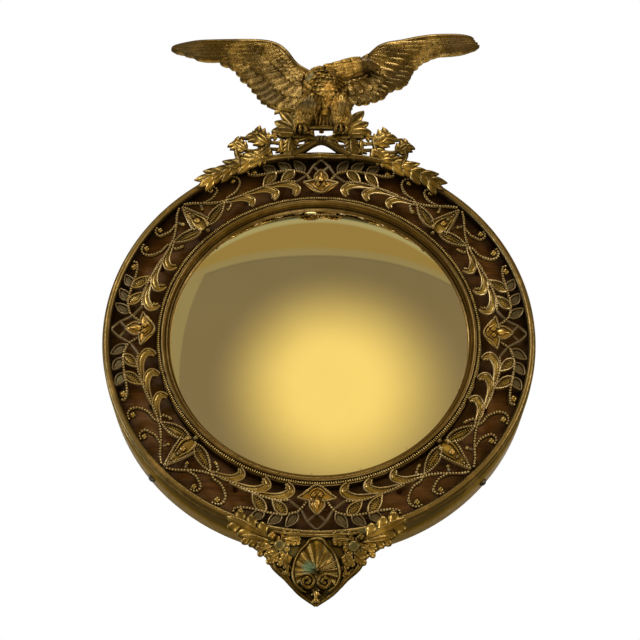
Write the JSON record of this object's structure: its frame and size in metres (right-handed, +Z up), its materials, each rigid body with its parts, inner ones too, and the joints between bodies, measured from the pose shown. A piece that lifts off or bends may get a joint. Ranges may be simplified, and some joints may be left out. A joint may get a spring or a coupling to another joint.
{
  "type": "convex mirror",
  "caption": "Round wall mirror with a domed glass in a brass rim with pierced scrolls, a leaf crest with a spread eagle, and a shell drop below.",
  "frame": {"origin": "where the round frame's own axis meets the wall, in the plane of the rim's back edge", "axes": "+X right as seen from the front, +Y into the wall, +Z up"},
  "size_m": [0.2304, 0.0474, 0.3502],
  "materials": {
    "aged_brass": "aged, dark in the hollows",
    "plain_brass": "dull",
    "dark_steel": "browned",
    "stained_wood": "satin brown stain",
    "felt": "felt",
    "silvered_glass": "silvered behind, aged"
  },
  "bodies": {
    "mirror": {"rim_band": "aged_brass", "sight_bezel": "aged_brass", "bead_ring": "aged_brass", "scroll_upper_right": "aged_brass", "scroll_lower_right": "aged_brass", "scroll_lower_left": "aged_brass", "scroll_upper_left": "aged_brass", "scroll_pins": "aged_brass", "flower_top": "aged_brass", "flower_right": "aged_brass", "flower_bottom": "aged_brass", "flower_left": "aged_brass", "crest_spray": "aged_brass", "eagle_body": "aged_brass", "eagle_wing_left": "aged_brass", "eagle_wing_right": "aged_brass", "shell_drop": "aged_brass", "backboard": "stained_wood", "mirror_glass": "silvered_glass", "mirror_pad": "felt", "rim_screws": "dark_steel", "crest_screws": "dark_steel", "drop_screws": "dark_steel", "eagle_screw": "dark_steel", "hanger_screws": "dark_steel", "hanger_plate": "plain_brass", "hanger_pin": "plain_brass"},
    "ring": {"hanger_ring": "plain_brass"}
  },
  "joints": [
    {"name": "ring_swing", "type": "hinge", "parent": "mirror", "child": "ring", "pos_m": [0, -0.002, 0.078], "axis": [1, 0, 0], "range_deg": [0, 180]}
  ]
}
